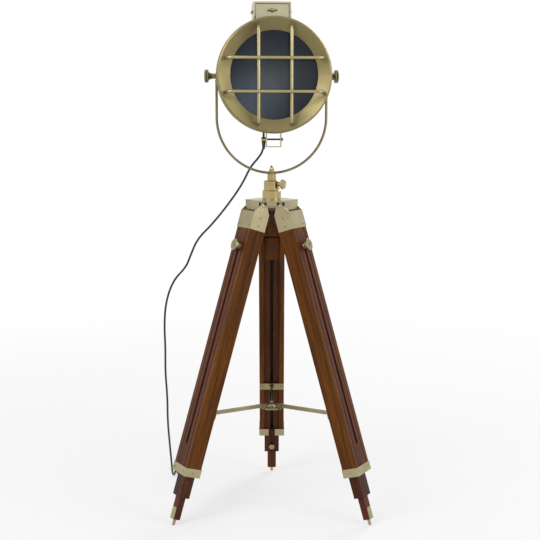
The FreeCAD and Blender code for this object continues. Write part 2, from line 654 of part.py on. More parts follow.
def reflector():
    rim = GLASS_FRONT + GLASS_THICK + SEAT
    wall = 1.2
    steps = 5
    outer = []
    for k in range(steps + 1):
        share = k / steps
        radius = SOCKET_R + SEAT + (GLASS_R - SOCKET_R) * sqrt(share)
        outer.append((radius, REFLECTOR_BACK + (rim - REFLECTOR_BACK) * share))
    inner_line = [(r, y) for r, y in outer[:-1]] + [(outer[-1][0], rim)]
    back_line = [(r + wall, y) for r, y in outer[:-1]]
    flange = [(BARREL_R - BARREL_WALL - SEAT, rim), (BARREL_R - BARREL_WALL - SEAT, rim + wall),
              (outer[-1][0] + wall, rim + wall)]
    return spun_y(inner_line + flange + back_line[::-1])


def lamp_socket():
    long = 44.0
    flange = 30.0
    bore = 13.4
    back = REFLECTOR_BACK
    return spun_y([(bore, back - 6), (SOCKET_R, back - 6), (SOCKET_R, back), (flange, back), (flange, back + 4),
                   (SOCKET_R, back + 4), (SOCKET_R - 2, back + long), (0, back + long), (0, back + 26), (bore, back + 26)])


def bulb():
    neck = 13.0
    back = REFLECTOR_BACK + 25
    return spun_y([(0, -66), (16, -62), (27, -50), (31, -36), (29, -22), (21, -6), (16, 6), (neck, 12),
                   (neck, back - 4), (8, back), (0, back)])


def top_box():
    foot = sqrt(BARREL_R ** 2 - BOX_HALF ** 2) - BOX_WALL
    body = block(-BOX_HALF, BOX_HALF, BOX_FRONT, BOX_BACK, foot, BOX_TOP)
    hollow = block(BOX_WALL - BOX_HALF, BOX_HALF - BOX_WALL, BOX_FRONT + BOX_WALL, BOX_BACK - BOX_WALL,
                   foot - BOX_WALL, BOX_TOP - BOX_WALL)
    seat = rod(BARREL_R + SEAT, V(0, -BARREL_R, 0), V(0, BARREL_R, 0))
    return body.cut(hollow).cut(seat)


def box_hood():
    inner = HOOD_HALF - BOX_WALL
    hood = block(-HOOD_HALF, HOOD_HALF, HOOD_FRONT, HOOD_BACK, HOOD_LOW, HOOD_TOP)
    hood = hood.cut(block(-inner, inner, HOOD_FRONT - 1, HOOD_BACK + 1, HOOD_LOW - 1, HOOD_TOP - BOX_WALL - 1))
    studs = [hood]
    stud_z = HOOD_TOP - HOOD_STUD_DOWN
    middle = (BOX_FRONT + BOX_BACK) / 2
    for side in (-1, 1):
        for y in (middle - HOOD_STUD_APART, middle + HOOD_STUD_APART):
            studs.append(rod(HOOD_STUD_R, V(side * BOX_HALF, y, stud_z), V(side * (HOOD_HALF + BOX_WALL), y, stud_z)))
    return fuse(studs)


def cord_bracket():
    half = STIRRUP_WIDE / 2
    left = STIRRUP_X - STIRRUP_HALF
    right = STIRRUP_X + STIRRUP_HALF
    outer = block(left, right, -half, half, STIRRUP_LOW, 0)
    inner = block(left + STIRRUP_THICK, right - STIRRUP_THICK, -half - 1, half + 1, STIRRUP_LOW + STIRRUP_THICK, 1)
    seat = rod(BARREL_R + SEAT, V(0, -BARREL_R, 0), V(0, BARREL_R, 0))
    hole = rod(CLAMP_PIN_R + PIN_FIT, V(left - 1, 0, CLAMP_PIN_Z), V(right + 1, 0, CLAMP_PIN_Z))
    return outer.cut(inner).cut(seat).cut(hole)


def bracket_pin():
    left = STIRRUP_X - STIRRUP_HALF
    right = STIRRUP_X + STIRRUP_HALF
    shank = rod(CLAMP_PIN_R, V(left - 1.5, 0, CLAMP_PIN_Z), V(right + 5.5, 0, CLAMP_PIN_Z))
    head = rod(CLAMP_PIN_R + 2.5, V(right, 0, CLAMP_PIN_Z), V(right + 3.5, 0, CLAMP_PIN_Z))
    return fuse([shank, head])


def cord_clamp():
    right = STIRRUP_X - STIRRUP_HALF
    body = rod(CORD_CLAMP_R, V(right - CORD_CLAMP_LONG, 0, CLAMP_PIN_Z), V(right, 0, CLAMP_PIN_Z))
    way = rod(CORD_R + SEAT, V(CORD_X, 0, CLAMP_PIN_Z - 10), V(CORD_X, 0, CLAMP_PIN_Z + 10))
    pin = rod(CLAMP_PIN_R + PIN_FIT, V(right - 1.6, 0, CLAMP_PIN_Z), V(right + 1, 0, CLAMP_PIN_Z))
    return body.cut(way).cut(pin)


def cord_lead():
    """The cord's fixed stretch, out of the barrel and through its clamp."""
    return rod(CORD_R, V(CORD_X, 0, CLAMP_PIN_Z - CORD_CLAMP_R), V(CORD_X, 0, -BARREL_R - SEAT))


def head_knob(side):
    near = BARREL_R - BOSS_INNER + 1
    hub = YOKE_HALF + EYE_THICK / 2 + SEAT
    disc = hub + 20
    groove = 1.4
    middle = (disc + KNOB_END) / 2
    profile = [(0, near), (STUD_R, near), (STUD_R, hub), (KNOB_HUB_R, hub), (KNOB_HUB_R, hub + 10),
               (KNOB_HUB_R + 4, disc), (KNOB_R - 2, disc), (KNOB_R, disc + 1.5), (KNOB_R, middle - groove),
               (KNOB_R - groove, middle), (KNOB_R, middle + groove), (KNOB_R, KNOB_END - 3),
               (KNOB_R - 3, KNOB_END - 1), (KNOB_R - 8, KNOB_END), (0, KNOB_END)]
    return spun([V(side * x, r, 0) for r, x in profile], V(0, 0, 0), ACROSS)


# ---------------------------------------------------------------- cord
def cord_route():
    """The cord's points, from the head to the coil, chosen by hand."""
    floor = CORD_R + FLOOR_GAP
    exit_x = CORD_X * cos(radians(YAW))
    exit_y = CORD_X * sin(radians(YAW))
    lead_end = PIVOT_Z + CLAMP_PIN_Z - CORD_CLAMP_R
    coil_left = COIL_X - COIL_MID_R - COIL_PITCH * COIL_TURNS / 4
    return [V(exit_x, exit_y, lead_end), V(exit_x, exit_y, 1050), V(-38, 6, 1026), V(-61, 14, 1001), V(-84, 20, 952),
            V(-125, 24, 893), V(-172, 30, 835), V(-216, 38, 791), V(-236, 46, 745), V(-251, 54, 706),
            V(-290, 66, 666), V(-314, 80, 602), V(-322, 96, 530), V(-321, 112, 452), V(-324, 128, 372),
            V(-320, 143, 292), V(-322, 158, 212), V(-318, 174, 134), V(coil_left - 1, 194, 62),
            V(coil_left - 2, 228, 18), V(coil_left - 0.5, 262, floor), V(coil_left, COIL_Y - 2 * CORD_R, floor)]


def smooth_wire(points):
    """Straight runs joined by arcs, each as large as its two runs allow."""
    edges = []
    last = points[0]
    radii = []
    for before, corner, after in zip(points, points[1:], points[2:]):
        into = (corner - before).normalize()
        out = (after - corner).normalize()
        turn = acos(max(-1, min(1, into.dot(out))))
        run = min((corner - before).Length, (after - corner).Length)
        radius = 0.45 * run / tan(turn / 2)
        radii.append(radius)
        back = radius * tan(turn / 2)
        a = corner - into * back
        b = corner + out * back
        towards = (out - into).normalize()
        centre = corner + towards * (radius / cos(turn / 2))
        edges.append(Part.LineSegment(last, a).toShape())
        edges.append(Part.Arc(a, centre - towards * radius, b).toShape())
        last = b
    edges.append(Part.LineSegment(last, points[-1]).toShape())
    print("cord radii", [round(r) for r in radii])
    return Part.Wire(edges)


def tube(wire, start, direction, name):
    section = Part.Wire(Part.makeCircle(CORD_R, start, direction))
    solid = wire.makePipeShell([section], True, False)
    print(name, "length", round(wire.Length), "volume ratio", solid.Volume / (pi * CORD_R ** 2 * wire.Length))
    return solid


def cord_drop():
    points = cord_route()
    return tube(smooth_wire(points), points[0], points[1] - points[0], "cord_drop")


def coil_knots():
    """Points and headings of the coil at every quarter turn, wound clockwise."""
    knots = []
    quarters = COIL_TURNS * 4
    outer = COIL_MID_R + COIL_PITCH * COIL_TURNS / 4
    middle = COIL_TURNS / 2
    for k in range(quarters + 1):
        turn = k / 4
        radius = outer - COIL_PITCH * min(turn, COIL_TURNS - turn)
        angle = pi - 2 * pi * turn
        climb = min(1, max(0, (turn - middle + 0.25) / 0.5))
        slope = 1.2 * COIL_LAYER / (pi * radius) if turn == middle else 0
        place = V(COIL_X + radius * cos(angle), COIL_Y + radius * sin(angle), CORD_R + FLOOR_GAP + COIL_LAYER * climb)
        knots.append((place, V(sin(angle), -cos(angle), slope).normalize()))
    return knots


def biarc(p, t, q, u):
    """Two tangent arcs from point p, heading t, to point q, heading u."""
    across = q - p
    both = t + u
    a = 2 * (1 - t.dot(u))
    b = 2 * across.dot(both)
    c = -across.dot(across)
    reach = (-b + sqrt(b * b - 4 * a * c)) / (2 * a)
    near = p + t * reach
    far = q - u * reach
    join = (near + far) * 0.5
    return [arc_by_corner(p, near, join), arc_by_corner(join, far, q)]


def arc_by_corner(p, corner, q):
    half = cos((corner - p).getAngle(q - p))
    middle = (p + corner * (2 * half) + q) * (1 / (2 * (1 + half)))
    return Part.Arc(p, middle, q).toShape()


def cord_coil():
    knots = coil_knots()
    first, heading = knots[0]
    edges = [Part.LineSegment(first - heading * (2 * CORD_R), first).toShape()]
    for (p, t), (q, u) in zip(knots, knots[1:]):
        edges += biarc(p, t, q, u)
    last, heading_out = knots[-1]
    edges.append(Part.LineSegment(last, last + heading_out * COIL_LEAD_OUT).toShape())
    wire = Part.Wire(edges)
    report_gap(edges)
    return tube(wire, first - heading * (2 * CORD_R), heading, "cord_coil")


def report_gap(edges):
    """Least gap between turns, on points a few millimetres apart."""
    points = []
    run = 0.0
    for edge in edges:
        count = max(2, int(edge.Length / 2))
        for k in range(count):
            at = edge.FirstParameter + (edge.LastParameter - edge.FirstParameter) * k / count
            points.append((run + edge.Length * k / count, edge.valueAt(at)))
        run += edge.Length
    apart = COIL_MID_R * pi / 2
    least = min((p - q).Length for i, (s, p) in enumerate(points) for (t, q) in points[i + 1:] if t - s > apart)
    print("coil's least gap to itself", round(least - 2 * CORD_R, 2))


def plug():
    last, heading = coil_knots()[-1]
    start = COIL_LEAD_OUT
    relief = 14.0
    body = start + relief
    end = body + PLUG_LONG
    half_wide = 9.0
    half_tall = min(9.0, last.z - FLOOR_GAP)
    neck = Part.makeCone(CORD_R + 1, half_tall - 1.5, relief, V(0, start, 0), FACING)
    box = block(-half_wide, half_wide, body, end, -half_tall, half_tall)
    box = box.makeChamfer(2.0, box.Edges)
    parts = [neck, box]
    for side in (-1, 1):
        parts.append(block(side * 6.35 - 0.75, side * 6.35 + 0.75, end - 1, end + 16, -3.1, 3.1))
    moulded = fuse(parts)
    turn = FreeCAD.Rotation(FACING, heading)
    return placed(moulded, FreeCAD.Placement(last, turn))


# ---------------------------------------------------------------- the lamp
def nodes():
    out = {}
    for name, azimuth in LEG_AZIMUTHS.items():
        for kind, make in (("leg_rails", leg_rails), ("leg_panel", leg_panel), ("leg_bracket", leg_bracket),
                           ("leg_band", leg_band), ("middle_leg", middle_leg), ("clamp_knob", clamp_knob),
                           ("foot_leg", foot_leg), ("foot_knob", foot_knob), ("spreader_strap", spreader_strap)):
            out[kind + "_" + name] = on_leg(make(), azimuth)
        out["foot_spike_" + name] = foot_spike(azimuth)
        out["spreader_arm_" + name] = placed(spreader_arm(), turned_about_column(azimuth))
    for make in (spreader_hub, hub_cap, hinge_pins, column_collar, collar_screw, yoke_spigot, yoke, finial):
        out[make.__name__] = make()
    for make in (barrel, back_dome, bezel, glass, grille, reflector, lamp_socket, bulb, top_box, box_hood,
                 cord_bracket, bracket_pin, cord_clamp, cord_lead):
        out[make.__name__] = on_head(make())
    out["head_knob_left"] = on_head(head_knob(-1))
    out["head_knob_right"] = on_head(head_knob(1))
    return out


def main():
    os.makedirs("parts", exist_ok=True)
    lamp = nodes()
    box = Part.makeCompound(list(lamp.values())).optimalBoundingBox(False)
    shift = V(-(box.XMin + box.XMax) / 2, -(box.YMin + box.YMax) / 2, -box.ZMin)
    print("box", [round(v, 3) for v in (box.XLength, box.YLength, box.ZLength)], "shift", shift)
    for make in (cord_drop, cord_coil, plug):
        lamp[make.__name__] = make()
    for name, shape in lamp.items():
        shape.translate(shift)
        shape.exportStep("parts/" + name + ".step")
        if not shape.isValid():
            print("not valid", name)
    print(len(lamp), "nodes")


main()
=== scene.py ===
from math import cos, pi, radians, sin, sqrt

import bmesh
import bpy
from mathutils import Matrix, Vector


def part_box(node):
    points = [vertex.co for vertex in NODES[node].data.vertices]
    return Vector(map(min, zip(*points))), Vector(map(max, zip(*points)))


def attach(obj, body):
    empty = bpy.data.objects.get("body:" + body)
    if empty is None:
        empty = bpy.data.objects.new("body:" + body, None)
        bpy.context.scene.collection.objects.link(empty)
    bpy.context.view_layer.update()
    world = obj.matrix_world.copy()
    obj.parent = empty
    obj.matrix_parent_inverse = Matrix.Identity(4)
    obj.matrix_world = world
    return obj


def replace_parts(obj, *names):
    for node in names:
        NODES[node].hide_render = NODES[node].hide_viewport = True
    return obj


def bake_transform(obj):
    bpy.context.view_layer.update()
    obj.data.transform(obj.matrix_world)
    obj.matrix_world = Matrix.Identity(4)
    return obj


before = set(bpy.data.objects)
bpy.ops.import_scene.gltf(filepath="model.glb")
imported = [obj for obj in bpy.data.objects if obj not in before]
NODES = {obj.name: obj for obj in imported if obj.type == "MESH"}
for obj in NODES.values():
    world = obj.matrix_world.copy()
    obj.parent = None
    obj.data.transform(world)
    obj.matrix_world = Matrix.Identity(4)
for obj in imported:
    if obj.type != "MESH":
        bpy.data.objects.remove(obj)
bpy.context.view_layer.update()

# Tripod spotlight floor lamp: finishes, cord, small fasteners and turned trim.
# Metres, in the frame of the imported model: floor at Z = 0, front towards -Y.

AXIS_Y = -0.0697877               # the column's axis; it stands at X = 0
PIVOT = Vector((0, AXIS_Y, 1.255))
HEAD_YAW = radians(5)
HINGE_R = 0.047
HINGE_Z = 0.894
LEAN = radians(17.25)
LEG_AZIMUTHS = {"back": 90, "left": 210, "right": 330}
LEG_FACE = 0.0235                 # outer face of a leg, from its centreline
LEG_HALF_WIDTH = 0.038
BRASS_SHEET = 0.0015
GLASS_R = 0.126
GLASS_Y = -0.080                  # the glass's front, before the pivot
CORD_R = 0.003
FLOOR_Z = 0.0032                  # the cord's centreline where it lies on the floor


# ------------------------------------------------------------------ shader maths
class Tree:
    """One material's nodes."""

    def __init__(self, name):
        self.material = bpy.data.materials.new(name)
        self.material.use_nodes = True
        self.tree = self.material.node_tree
        self.tree.nodes.clear()

    def node(self, kind, settings=None, inputs=None, out=0):
        made = self.tree.nodes.new(kind)
        for key, value in (settings or {}).items():
            if key == "stops":
                set_stops(made.color_ramp, value)
            else:
                setattr(made, key, value)
        for key, value in (inputs or {}).items():
            socket = made.inputs[key]
            if isinstance(value, Sock):
                self.tree.links.new(value.socket, socket)
            else:
                socket.default_value = value
        return Sock(self, made.outputs[out])

    def math(self, operation, *values):
        return self.node("ShaderNodeMath", {"operation": operation}, dict(enumerate(values)))

    def mix(self, share, first, second, blend="MIX"):
        settings = {"data_type": "RGBA", "blend_type": blend}
        return self.node("ShaderNodeMix", settings, {0: share, 6: first, 7: second}, out=2)

    def ramp(self, value, stops):
        return self.node("ShaderNodeValToRGB", {"stops": stops}, {0: value})

    def place(self, location=(0, 0, 0), rotation=(0, 0, 0), scale=(1, 1, 1)):
        """Object coordinates, first taken to a frame at location and rotation, then scaled."""
        coords = self.node("ShaderNodeTexCoord", out=3)
        local = self.node("ShaderNodeMapping", {"vector_type": "TEXTURE"},
                          {0: coords, 1: location, 2: rotation})
        return self.node("ShaderNodeMapping", {"vector_type": "POINT"}, {0: local, 3: scale})

    def noise(self, vector, scale, detail=4.0, rough=0.55, distortion=0.0):
        return self.node("ShaderNodeTexNoise", {},
                         {"Vector": vector, "Scale": scale, "Detail": detail, "Roughness": rough,
                          "Distortion": distortion})

    def bump(self, height, strength, distance):
        return self.node("ShaderNodeBump", {}, {"Height": height, "Strength": strength, "Distance": distance})

    def surface(self, inputs):
        shader = self.node("ShaderNodeBsdfPrincipled", {}, inputs)
        self.finish(shader)
        return self.material

    def finish(self, shader):
        output = self.tree.nodes.new("ShaderNodeOutputMaterial")
        self.tree.links.new(shader.socket, output.inputs["Surface"])


def set_stops(ramp, stops):
    while len(ramp.elements) < len(stops):
        ramp.elements.new(1.0)
    for element, (position, colour) in zip(ramp.elements, stops):
        element.position = position
        element.color = (*colour, 1.0)


class Sock:
    """An output socket that can be used in Python expressions."""

    def __init__(self, owner, socket):
        self.owner = owner
        self.socket = socket

    def __add__(self, other):
        return self.owner.math("ADD", self, other)

    __radd__ = __add__

    def __mul__(self, other):
        return self.owner.math("MULTIPLY", self, other)

    __rmul__ = __mul__

    def __sub__(self, other):
        return self.owner.math("SUBTRACT", self, other)

    def __rsub__(self, other):
        return self.owner.math("SUBTRACT", other, self)


# ------------------------------------------------------------------ finishes
def aged_brass(name, bright, dark, rough, tarnish):
    """Lacquered antique brass: cloudy tarnish over a warmer metal, with fine rubbing marks."""
    t = Tree(name)
    near = t.place()
    clouds = t.noise(near, 11.0, 5.0, 0.55)
    specks = t.noise(near, 240.0, 3.0, 0.6)
    rubbed = t.noise(t.place(scale=(1, 1, 6)), 60.0, 3.0)
    mask = t.ramp(clouds * 0.9 + specks * 0.1, [(0.38, (0, 0, 0)), (0.68, (1, 1, 1))])
    colour = t.mix(mask * tarnish, (*bright, 1), (*dark, 1))
    height = specks * 0.4 + rubbed * 0.6
    return t.surface({"Base Color": colour, "Metallic": 1.0, "Roughness": mask * 0.08 + rough,
                      "Normal": t.bump(height, 0.012, 0.0002)})


def leg_wood(name, azimuth, tones):
    """Stained mahogany with its grain running down one leg."""
    t = Tree(name)
    angle = radians(azimuth)
    pin = (HINGE_R * cos(angle), AXIS_Y + HINGE_R * sin(angle), HINGE_Z)
    turn = (0.0, -LEAN, angle)
    broad = t.noise(t.place(pin, turn, (9, 9, 0.9)), 3.0, 4.0, 0.5, 0.6)
    grain = t.noise(t.place(pin, turn, (60, 60, 2.2)), 2.4, 6.0, 0.62, 0.35)
    pores = t.noise(t.place(pin, turn, (420, 420, 16)), 1.6, 3.0, 0.6)
    figure = grain * 0.62 + broad * 0.38
    dark, mid, light, pale = tones
    colour = t.ramp(figure, [(0.30, dark), (0.47, mid), (0.60, light), (0.78, pale)])
    pore_mask = t.ramp(pores, [(0.36, (1, 1, 1)), (0.46, (0, 0, 0))])
    stained = t.mix(pore_mask * 0.45, colour, (*[c * 0.5 for c in dark], 1))
    height = grain * 0.4 + (1 - pore_mask) * 0.6
    return t.surface({"Base Color": stained, "Roughness": pore_mask * 0.16 + 0.38, "Specular IOR Level": 0.13,
                      "Normal": t.bump(height, 0.16, 0.0004)})


def turned_steel(name, colour, rough):
    t = Tree(name)
    rings = t.noise(t.place(scale=(40, 400, 400)), 2.0, 2.0)
    return t.surface({"Base Color": (*colour, 1), "Metallic": 1.0, "Roughness": rings * 0.15 + rough,
                      "Normal": t.bump(rings, 0.08, 0.0002)})


def smoked_glass():
    """Dark slate-blue front glass, cloudy and faintly dusty; a painted glow in its middle fades to painted
    shade at the rim, with a painted patch of bluish light low on the left.
    """
    t = Tree("smoked_glass")

    def ball_of(x, z, radius):
        """Fades from 1 at a point of the glass, in the head's frame, to 0 at a radius."""
        size = 1 / radius
        held = t.place(PIVOT + Vector((x, GLASS_Y, z)), (0, 0, HEAD_YAW), (size, 0.0, size))
        return t.node("ShaderNodeTexGradient", {"gradient_type": "SPHERICAL"}, {0: held})

    # painted glow: lighter towards the middle, as from the lit inside behind the glass, fading to painted
    # shade at the rim
    painted_glow = ball_of(0, -0.018, GLASS_R)
    # painted patch of bluish light, low on the left of the glass
    low = ball_of(-0.070, -0.085, GLASS_R / 1.1)
    cloud = t.noise(t.place(), 13.0, 2.0, 0.45, 0.3)
    dust = t.noise(t.place(), 160.0, 2.0)
    share = painted_glow * 0.85 + cloud * 0.35 - 0.14
    # ramp from painted shade at the rim to the painted glow in the middle
    middle = t.ramp(share, [(0.05, (0.010, 0.014, 0.020)), (0.45, (0.034, 0.042, 0.050)),
                            (0.80, (0.078, 0.092, 0.098))])
    # mixes in the painted bluish light low on the left
    colour = t.mix(low * 0.8, middle, (0.075, 0.098, 0.135, 1))
    return t.surface({"Base Color": colour, "Roughness": dust * 0.10 + 0.20, "IOR": 1.5,
                      "Specular IOR Level": 0.22})


def dull_plastic(name, colour, rough, scale=260.0, strength=0.15):
    t = Tree(name)
    grain = t.noise(t.place(), scale, 3.0)
    tone = t.mix(grain, (*colour, 1), (*[c * 1.6 + 0.004 for c in colour], 1))
    return t.surface({"Base Color": tone, "Roughness": grain * 0.2 + rough,
                      "Normal": t.bump(grain, strength, 0.0003)})


def spun_aluminium():
    t = Tree("spun_aluminium")
    rings = t.noise(t.place(scale=(120, 3, 120)), 3.0, 3.0)
    return t.surface({"Base Color": (0.72, 0.73, 0.74, 1), "Metallic": 1.0, "Roughness": rings * 0.2 + 0.22,
                      "Normal": t.bump(rings, 0.1, 0.0002)})


def frosted_glass():
    t = Tree("frosted_glass")
    frost = t.noise(t.place(), 300.0, 2.0)
    return t.surface({"Base Color": (0.86, 0.87, 0.86, 1), "Roughness": frost * 0.2 + 0.35,
                      "Transmission Weight": 0.35, "IOR": 1.45})


BRASS = aged_brass("satin_brass", (0.43, 0.375, 0.225), (0.28, 0.242, 0.135), 0.27, 0.60)
OLIVE_BRASS = aged_brass("olive_brass", (0.258, 0.216, 0.104), (0.170, 0.142, 0.068), 0.42, 0.60)
GOLDEN_BRASS = aged_brass("golden_brass", (0.47, 0.375, 0.180), (0.26, 0.200, 0.088), 0.15, 0.45)
PALE_BRASS = aged_brass("pale_brass", (0.53, 0.500, 0.345), (0.38, 0.350, 0.225), 0.24, 0.55)
ROD_BRASS = aged_brass("rod_brass", (0.42, 0.362, 0.195), (0.29, 0.248, 0.128), 0.30, 0.50)
BOW_BRASS = aged_brass("bow_brass", (0.250, 0.212, 0.115), (0.155, 0.132, 0.070), 0.26, 0.50)
DULL_BRASS = aged_brass("dull_brass", (0.36, 0.310, 0.180), (0.19, 0.162, 0.092), 0.30, 0.65)
STEEL = turned_steel("turned_steel", (0.42, 0.385, 0.290), 0.26)
BLACK_STEEL = turned_steel("blackened_steel", (0.045, 0.045, 0.048), 0.30)
SMOKED_GLASS = smoked_glass()
ALUMINIUM = spun_aluminium()
CERAMIC = dull_plastic("glazed_ceramic", (0.62, 0.60, 0.55), 0.16, 90.0, 0.05)
BULB_GLASS = frosted_glass()
CORD_SHEATH = dull_plastic("cord_sheath", (0.010, 0.010, 0.011), 0.34)
PLUG_PLASTIC = dull_plastic("moulded_plug", (0.012, 0.012, 0.013), 0.42)

# the wood's four tones, from its darkest grain to its palest
AMBER_TONES = ((0.034, 0.0090, 0.0010), (0.095, 0.0285, 0.0022),
               (0.158, 0.0510, 0.0040), (0.225, 0.0790, 0.0075))
RED_TONES = ((0.036, 0.0085, 0.0032), (0.090, 0.0225, 0.0085),
             (0.140, 0.0375, 0.0145), (0.195, 0.0580, 0.0230))
DEEP_TONES = ((0.020, 0.0055, 0.0016), (0.055, 0.0155, 0.0040),
              (0.090, 0.0270, 0.0068), (0.130, 0.0410, 0.0110))
WOOD_TONES = {"leg_rails": AMBER_TONES, "leg_panel": RED_TONES, "middle_leg": DEEP_TONES,
              "foot_leg": RED_TONES}


def dress(node, material):
    slots = NODES[node].data.materials
    slots.clear()
    slots.append(material)


LEG_FINISHES = ((BRASS, ("leg_bracket", "leg_band", "foot_spike")),
                (DULL_BRASS, ("clamp_knob", "foot_knob", "spreader_strap", "spreader_arm")))
FINISHES = ((OLIVE_BRASS, ("barrel", "back_dome", "bezel")),
            (GOLDEN_BRASS, ("column_collar", "yoke_spigot", "finial", "cord_clamp")),
            (PALE_BRASS, ("top_box", "box_hood", "cord_bracket")),
            (BOW_BRASS, ("yoke", "head_knob_left", "head_knob_right")),
            (BRASS, ("hub_cap",)), (ROD_BRASS, ("collar_screw",)), (DULL_BRASS, ("spreader_hub",)),
            (STEEL, ("hinge_pins",)), (BLACK_STEEL, ("bracket_pin",)), (SMOKED_GLASS, ("glass",)),
            (ALUMINIUM, ("reflector",)), (CERAMIC, ("lamp_socket",)), (BULB_GLASS, ("bulb",)),
            (PLUG_PLASTIC, ("plug",)), (CORD_SHEATH, ("cord_lead",)))


def dress_nodes():
    for name, azimuth in LEG_AZIMUTHS.items():
        for kind, tones in WOOD_TONES.items():
            dress(f"{kind}_{name}", leg_wood(f"mahogany_{kind}_{name}", azimuth, tones))
        for material, kinds in LEG_FINISHES:
            for kind in kinds:
                dress(f"{kind}_{name}", material)
    for material, nodes in FINISHES:
        for node in nodes:
            dress(node, material)


# ------------------------------------------------------------------ making pieces
def leg_frame(azimuth):
    """From a leg's own frame (X outwards, Y across, -Z down the leg) to the lamp's."""
    lift = Matrix.Translation((0, AXIS_Y, 0)) @ Matrix.Rotation(radians(azimuth), 4, "Z")
    return lift @ Matrix.Translation((HINGE_R, 0, HINGE_Z)) @ Matrix.Rotation(-LEAN, 4, "Y")


HEAD_FRAME = Matrix.Translation(PIVOT) @ Matrix.Rotation(HEAD_YAW, 4, "Z")


def keep(bm, name, material, body, place=None, smooth=True):
    """Makes a finished piece of a bmesh, at its place, riding on its body."""
    bmesh.ops.remove_doubles(bm, verts=bm.verts, dist=1e-6)
    if place is not None:
        bmesh.ops.transform(bm, matrix=place, verts=bm.verts)
    bmesh.ops.recalc_face_normals(bm, faces=bm.faces)
    mesh = bpy.data.meshes.new(name)
    bm.to_mesh(mesh)
    bm.free()
    if smooth:
        mesh.polygons.foreach_set("use_smooth", [True] * len(mesh.polygons))
        mesh.set_sharp_from_angle(angle=radians(35))
    piece = bpy.data.objects.new(name, mesh)
    bpy.context.scene.collection.objects.link(piece)
    mesh.materials.append(material)
    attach(piece, body)
    return piece


def fresh_verts(geom):
    """The vertices among an operator's results."""
    return [g for g in geom if isinstance(g, bmesh.types.BMVert)]


def box(bm, place, size):
    """A box of a size, at a matrix's place."""
    verts = bmesh.ops.create_cube(bm, size=1.0)["verts"]
    bmesh.ops.transform(bm, matrix=place @ Matrix.Diagonal((*size, 1)), verts=verts)


def soften(bm, offset):
    """A small round on every edge."""
    bmesh.ops.bevel(bm, geom=bm.edges[:], offset=offset, segments=2, profile=0.5, affect="EDGES", material=-1)


def turned(bm, profile, axis, steps=32):
    """Spins a profile of (radius, along) about an axis that is a matrix's Z; both ends are on the axis."""
    verts = [bm.verts.new(axis @ Vector((r, 0, z))) for r, z in profile]
    edges = [bm.edges.new(pair) for pair in zip(verts, verts[1:])]
    bmesh.ops.spin(bm, geom=verts + edges, cent=axis.translation, axis=axis.to_3x3() @ Vector((0, 0, 1)),
                   dvec=(0, 0, 0), angle=2 * pi, steps=steps, use_merge=True, use_duplicate=False)
    bmesh.ops.remove_doubles(bm, verts=bm.verts, dist=1e-6)


def along(place, direction):
    """A matrix at a place whose Z is a direction."""
    return Matrix.Translation(place) @ Vector(direction).to_track_quat("Z", "Y").to_matrix().to_4x4()


def screw_heads(name, spots, radius, tall, body, place):
    """Domed, slotted screw heads; spots are (place, direction)."""
    sunk = 0.0004
    bm = bmesh.new()
    for spot, direction in spots:
        seat = along(spot, direction)
        dome = [(0, -sunk), (radius, -sunk), (radius, tall * 0.35), (radius * 0.85, tall * 0.75),
                (radius * 0.45, tall), (0, tall)]
        turned(bm, dome, seat, 20)
        box(bm, seat @ Matrix.Translation((0, 0, tall)), (radius * 1.5, radius * 0.22, tall * 0.3))
    keep(bm, name, DULL_BRASS, body, place)


def fasteners():
    """Screws on each leg's bracket and band, on the hood's sides and round the barrel's back."""
    outer = LEG_FACE + BRASS_SHEET
    side = LEG_HALF_WIDTH + BRASS_SHEET
    apart = 0.028                 # of the front screws, from the leg's middle
    bracket_rows = (0.036, 0.060)
    band_row = 0.774
    for name, azimuth in LEG_AZIMUTHS.items():
        place = leg_frame(azimuth)
        body = "leg_" + name
        bracket = [((outer, across, -bracket_rows[1]), (1, 0, 0)) for across in (-apart, apart)]
        bracket += [((0.002, s * side, -down), (0, s, 0)) for s in (-1, 1) for down in bracket_rows]
        screw_heads(f"bracket_screws_{name}", bracket, 0.0036, 0.0014, body, place)
        band = [((outer, across, -band_row), (1, 0, 0)) for across in (-apart, apart)]
        band += [((0.0, s * side, -band_row), (0, s, 0)) for s in (-1, 1)]
        screw_heads(f"band_screws_{name}", band, 0.0034, 0.0013, body, place)
    hood = [((s * 0.0545, y, 0.178), (s, 0, 0)) for s in (-1, 1) for y in (-0.003, 0.033)]
    screw_heads("hood_screws", hood, 0.0044, 0.0018, "head", HEAD_FRAME)
    ring_r, back_y, splay = 0.132, 0.1035, 0.3
    dome = [((ring_r * cos(a), back_y, ring_r * sin(a)), (splay * cos(a), 1, splay * sin(a)))
            for a in (radians(45 + 90 * k) for k in range(4))]
    screw_heads("dome_screws", dome, 0.0036, 0.0016, "head", HEAD_FRAME)


def wing_screw():
    """The brass wing screw on the front of the top box."""
    bm = bmesh.new()
    seat = along((0.0, -0.020, 0.180), (0, -1, 0))
    shank = [(0, -0.0005), (0.0062, -0.0005), (0.0062, 0.003), (0.0045, 0.006), (0.0045, 0.014),
             (0.0030, 0.016), (0, 0.016)]
    turned(bm, shank, seat, 24)
    wing_size = Matrix.Diagonal((0.0062, 0.0024, 0.0050, 1))
    for side in (-1, 1):
        wing = bmesh.ops.create_uvsphere(bm, u_segments=20, v_segments=12, radius=1.0)["verts"]
        shape = seat @ Matrix.Translation((side * 0.0086, 0, 0.0110)) @ wing_size
        bmesh.ops.transform(bm, matrix=shape, verts=wing)
    keep(bm, "wing_screw", GOLDEN_BRASS, "head", HEAD_FRAME)


